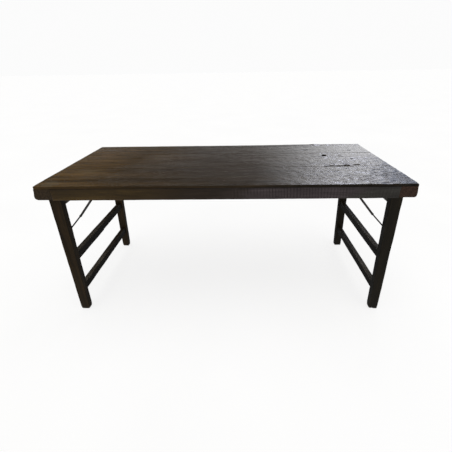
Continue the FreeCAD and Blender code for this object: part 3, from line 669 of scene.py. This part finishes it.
for side, s, rb in (("left", -1, 0.014), ("right", 1, 0.009)):
    nm = "end_rail_" + side
    xa, xb = sorted((s * RAIL_X, s * HX))

    def end_shape(V, s=s, rb=rb):
        V = V.copy()
        vx, vz = V[:, 0] * s - (HX - rb), (APRON + rb) - V[:, 2]
        hit = (vx > 0) & (vz > 0)
        m = np.maximum(vx[hit], vz[hit])
        ln = np.hypot(vx[hit], vz[hit])
        V[hit, 0] = s * (HX - rb + vx[hit] / ln * m)
        V[hit, 2] = APRON + rb - vz[hit] / ln * m
        if s < 0:
            # the left end was sawn a little out of square: it stands proud lower down
            far = smooth(HX - 0.030, HX, -V[:, 0])
            V[:, 0] -= far * (0.0055 * smooth(0.738, 0.712, V[:, 2]) - 0.0012)
            return V
        V[:, 0] += smooth(HX - 0.030, HX, V[:, 0]) * 0.0035 * smooth(0.745, 0.715, V[:, 2])
        return corner(V)

    timber("apron_end_" + side, (xa, -HY, APRON), (xb, HY, PLANK_Z), (0.0038, 0.005, 0.0036), 0.0020, 1, 125 + s, "top",
           [nm], M["end_rail"], shape=end_shape, wear_w=0.004, rough=0.0003,
           disp=lambda V, N, n_: 0.0004 * n_.fbm(V[:, 0] * 60, V[:, 1] * 12, V[:, 2] * 60, 3)
           + np.abs(N[:, 1]) * 0.0004 * n_.fbm(V[:, 0] * 90, V[:, 1] * 12, V[:, 2] * 90, 3))

for i, nm in enumerate(n for n in frame["nodes"] if "batten" in n):
    lo, hi = box(nm)
    timber("board_" + nm, lo, hi, (0.007, 0.009, 0.007), 0.0022, 1, 140 + i, "top", [nm], M["batten"],
           wear_w=0.004, rough=0.0004,
           disp=lambda V, N, n_: 0.0003 * n_(V[:, 0] * 10, V[:, 1] * 160, V[:, 2] * 10) - 0.0001)

# ------------------------------------------------------------------ leg frames
for side, s in (("left", -1), ("right", 1)):
    for depth, sy in (("front", -1), ("back", 1)):
        nm = "leg_%s_%s" % (depth, side)
        y0, y1 = sorted((sy * 0.3195, sy * 0.3565))
        seed = 160 + (side == "right") * 2 + (depth == "back")

        def leg_shape(V, s=s, seed=seed):
            V = V.copy()
            z = V[:, 2]
            t = (LEG_T_FOOT + (LEG_T_TOP - LEG_T_FOOT) * z / LEG_TOP_Z) / LEG_T_TOP
            V[:, 0] = s * (leg_in(z) + V[:, 0] * t / COS)
            return V

        foot = {"front_left": (0.006, 0.0), "back_left": (0.008, 0.0), "front_right": (0.002, 0.006), "back_right": (0.002, 0.0)}["%s_%s" % (depth, side)]

        def leg_r(P, nz_, foot=foot):
            x, y, z = P.T
            low = smooth(0.030, 0.004, z)
            inner = (x < LEG_T_TOP / 2).astype(float)
            out = foot[0] * low + foot[1] * low * inner
            return out + 0.0022 * np.clip(nz_.fbm(z * 9, x * 40, y * 40, 2) + 0.1, 0, 1)

        def leg_disp(V, N, nz_):
            x, y, z = V.T
            d = 0.0009 * nz_.fbm(x * 9, y * 9, z * 4.5, 3) + 0.00045 * nz_.fbm(x * 70, y * 70, z * 9, 2) - 0.0004
            # painted shade: the inner faces, turned away from the light, are darkened
            painted_shade = smooth(0.5, 0.9, -N[:, 0]) * np.clip(0.72 + 0.5 * nz_.fbm(x * 10, y * 30, z * 7, 2), 0, 1)
            return d * (1 - np.clip(-N[:, 2], 0, 1)) * smooth(0.0, 0.02, LEG_TOP_Z - z), painted_shade * 0.8

        timber("upright_" + nm, (0, y0, 0.0), (LEG_T_TOP, y1, LEG_TOP_Z), (0.0048, 0.0048, 0.0062), 0.0030, 2, seed,
               "leg_frame_" + side, [nm], M["leg"], rfun=leg_r, disp=leg_disp, shape=leg_shape, wear_w=0.0045,
               fine=((), (), ((0.0, 0.035, 0.003),)))

    def lean_shape(V, s=s):
        out = V.copy()
        out[:, 0] = s * (HINGE_X + V[:, 0] * COS - V[:, 2] * SIN)
        out[:, 2] = HINGE_Z + V[:, 0] * SIN + V[:, 2] * COS
        return out

    for i, (kind, zc) in enumerate((("upper_rung", 0.348), ("lower_rung", 0.144))):
        nm = kind + "_" + side
        x_in = leg_in(zc)
        t = (LEG_T_FOOT + (LEG_T_TOP - LEG_T_FOOT) * zc / LEG_TOP_Z) / COS
        du, dv = x_in + t / 2 - 0.0035 - HINGE_X, zc - HINGE_Z
        u, w = du * COS + dv * SIN, -du * SIN + dv * COS

        def rung_disp(V, N, nz_, kind=kind, side=side):
            x, y, z = V.T
            d = 0.0010 * nz_.fbm(x * 20, y * 5, z * 20, 3) - 0.0004
            low = np.clip(-N[:, 2], 0, 1)
            if kind == "upper_rung" and side == "left":
                # the lower edge was cut back over the rear half
                d = d + low * (0.0020 - 0.0052 * smooth(-0.002, 0.008, y))
            # painted shade: the inner faces and the undersides are darkened
            painted_shade = 0.85 * smooth(0.4, 0.85, -N[:, 0]) + 0.5 * low
            # painted highlight: the top faces are lightened with the wear colour, most towards the front
            painted_top_highlight = np.clip(N[:, 2] * 1.3, 0, 1) * np.clip(0.75 + 0.8 * nz_.fbm(y * 9, x * 40, 1.0, 2), 0, 1) * smooth(0.22, -0.15, y)
            return d * smooth(0.0, 0.01, 0.322 - np.abs(y)), np.clip(painted_shade, 0, 1), painted_top_highlight

        timber("bar_" + nm, (u - 0.015, -0.3215, w - 0.021), (u + 0.015, 0.3215, w + 0.021), (0.0042, 0.0062, 0.0046), 0.0036, 1,
               180 + 2 * (s > 0) + i, "leg_frame_" + side, [nm], M["rung"], disp=rung_disp, shape=lean_shape,
               wear_w=0.005, fine=((), ((-0.012, 0.018, 0.002),), ()))

    nm = "leg_frame_top_rail_" + side

    def tr_shape(V, s=s):
        V = V.copy()
        V[:, 0] = s * (leg_in(V[:, 2]) + V[:, 0])
        return V

    timber("bar_" + nm, (0, -0.3210, 0.650), (0.040, 0.3210, LEG_TOP_Z), (0.005, 0.0075, 0.005), 0.0028, 1, 190 + (s > 0),
           "leg_frame_" + side, [nm], M["rung"], shape=tr_shape, wear_w=0.004,
           disp=lambda V, N, n_: -0.0002 + 0.0002 * n_.fbm(V[:, 0] * 20, V[:, 1] * 8, V[:, 2] * 20, 2))

# ------------------------------------------------------------------ carried-over CAD nodes
KEEP = {
    "plank_nails": "nail", "rail_dowels": "peg", "hinge_top_screws": "screw", "stay_bracket_screws": "screw",
    "stay_bracket_rivets": "rivet",
}
for n, o in frame["nodes"].items():
    if o.hide_render:
        continue
    if n in KEEP:
        m = KEEP[n]
    elif n.startswith("frame_pegs"):
        m = "peg"
    elif n.startswith("hinge_leg_screws"):
        m = "screw"
    elif n.startswith("hinge_pin"):
        m = "pin"
    elif "leaf" in n:
        m = "hinge"
    elif n.startswith("stay_bolts"):
        m = "rivet"
    else:
        m = "stay"
    for k in range(len(o.material_slots)):
        o.material_slots[k].material = M[m]

# ------------------------------------------------------------------ stage, light, camera
k = Mat("floor_pale")
fn = k.noise(k.P, 1.1, 3.0, 0.5)
k.put(k.bsdf.inputs["Base Color"], k.ramp(fn, [(0.3, (0.185, 0.185, 0.185)), (0.7, (0.205, 0.205, 0.205))]))
k.bsdf.inputs["Roughness"].default_value = 0.95
k.bsdf.inputs["Specular IOR Level"].default_value = 0.0
k.bsdf.inputs["Emission Color"].default_value = (1, 1, 1, 1)
k.bsdf.inputs["Emission Strength"].default_value = 0.81
me = bpy.data.meshes.new("floor")
S = 120.0
me.from_pydata([(-S, -S, 0), (S, -S, 0), (S, S, 0), (-S, S, 0)], [], [(0, 1, 2, 3)])
me.materials.append(k.m)
floor = bpy.data.objects.new("floor", me)
floor.location = (0, 0, -0.0005)
bpy.context.scene.collection.objects.link(floor)

# a soft studio as a sky: a pale wall low down, a broad overhead dome, a large soft source behind on the right,
# a small warm one behind on the left, and a dark hanging between them
world = bpy.data.worlds.new("studio")
bpy.context.scene.world = world
world.use_nodes = True
wt = world.node_tree
wt.nodes.clear()


def wn(kind, *ins, **props):
    node = wt.nodes.new(kind)
    for key, val in props.items():
        setattr(node, key, val)
    for i, val in enumerate(ins):
        if isinstance(val, bpy.types.NodeSocket):
            wt.links.new(val, node.inputs[i])
        elif val is not None:
            node.inputs[i].default_value = val
    return node


def wm(op, a, b=0.0):
    return wn("ShaderNodeMath", a, b, operation=op).outputs[0]


def wstep(v, a, b, lo=0.0, hi=1.0):
    node = wn("ShaderNodeMapRange", v, a, b, lo, hi, interpolation_type="SMOOTHSTEP")
    return node.outputs["Result"]


tc = wn("ShaderNodeTexCoord")
sep = wn("ShaderNodeSeparateXYZ", tc.outputs["Generated"])
el = wm("MULTIPLY", wm("ARCSINE", sep.outputs["Z"]), 180 / math.pi)
az = wm("MULTIPLY", wm("ARCTAN2", sep.outputs["X"], sep.outputs["Y"]), 180 / math.pi)


def window(a0, a1, a2, a3, e0, e1, e2, e3):
    """1 inside a patch of sky, with soft sides: azimuth rises a0-a1 and falls a2-a3, elevation likewise."""
    u = wm("MULTIPLY", wstep(az, a0, a1), wstep(az, a2, a3, 1.0, 0.0))
    v = wm("MULTIPLY", wstep(el, e0, e1), wstep(el, e2, e3, 1.0, 0.0))
    return wm("MULTIPLY", u, v)


def wmix(fac, a, b):
    node = wt.nodes.new("ShaderNodeMix")
    node.data_type = "RGBA"
    wt.links.new(fac, node.inputs[0])
    for i, v in ((6, a), (7, b)):
        if isinstance(v, bpy.types.NodeSocket):
            wt.links.new(v, node.inputs[i])
        else:
            node.inputs[i].default_value = (*v, 1)
    return node.outputs[2]


sky = wmix(wstep(el, 48.0, 66.0), (0.26, 0.26, 0.26), (2.0, 1.99, 1.96))
sky = wmix(wm("MULTIPLY", wm("MULTIPLY", wstep(wm("ABSOLUTE", az), 115.0, 145.0), wstep(el, 12.0, 20.0)), wstep(el, 40.0, 55.0, 1.0, 0.0)), sky, (1.15, 1.12, 1.06))
sky = wmix(window(-75.0, -52.0, 45.0, 62.0, 8.0, 12.0, 42.0, 54.0), sky, (0.050, 0.047, 0.044))
sky = wmix(window(-66.0, -46.0, -40.0, -19.0, 8.0, 12.0, 30.0, 44.0), sky, (0.27, 0.19, 0.09))
sky = wmix(window(-14.0, 2.0, 10.0, 24.0, 16.0, 19.0, 30.0, 42.0), sky, (0.125, 0.115, 0.115))
sky = wmix(window(1.5, 26.0, 27.0, 35.0, 8.0, 10.0, 18.5, 25.0), sky, (2.35, 2.36, 2.44))
sky = wmix(window(24.0, 29.0, 33.0, 38.0, 8.0, 10.0, 19.0, 26.0), sky, (0.85, 0.95, 1.22))
sky = wmix(window(12.0, 18.0, 25.0, 31.0, 24.0, 26.5, 30.0, 33.5), sky, (7.2, 7.4, 8.6))
sky = wmix(wstep(el, 9.4, 10.6, 1.0, 0.0), sky, (0.96, 0.96, 0.96))
# a plain pale backdrop behind the object, from every side
path = wn("ShaderNodeLightPath")
sky = wmix(path.outputs["Is Camera Ray"], sky, (0.97, 0.97, 0.97))
bgn = wn("ShaderNodeBackground")
wt.links.new(sky, bgn.inputs["Color"])
bgn.inputs["Strength"].default_value = 1.0
wo = wn("ShaderNodeOutputWorld")
wt.links.new(bgn.outputs[0], wo.inputs[0])
world.cycles.sampling_method = "MANUAL"
world.cycles.sample_map_resolution = 1024


cam = bpy.data.cameras.new("camera")
cam_o = bpy.data.objects.new("camera", cam)
yaw, pitch, roll = -0.0211, 0.4997, -0.0163
fwd = Vector((math.sin(yaw) * math.cos(pitch), math.cos(yaw) * math.cos(pitch), -math.sin(pitch)))
rgt = Vector((math.cos(yaw), -math.sin(yaw), 0))
upv = rgt.cross(fwd)
r2 = rgt * math.cos(roll) + upv * math.sin(roll)
u2 = -rgt * math.sin(roll) + upv * math.cos(roll)
rot = Matrix((r2, u2, -fwd)).transposed().to_4x4()
cam_o.matrix_world = Matrix.Translation((0.0771, -1.5826, 1.2128)) @ rot
cam.sensor_width = 36.0
cam.lens = 287.91 / 452.0 * 36.0
cam.shift_x = (226.0 - 235.52) / 452.0
cam.shift_y = (225.94 - 226.0) / 452.0
cam.clip_start, cam.clip_end = 0.05, 200.0
bpy.context.scene.collection.objects.link(cam_o)
bpy.context.scene.camera = cam_o
bpy.context.scene.view_settings.view_transform = "Standard"
bpy.context.scene.view_settings.look = "None"
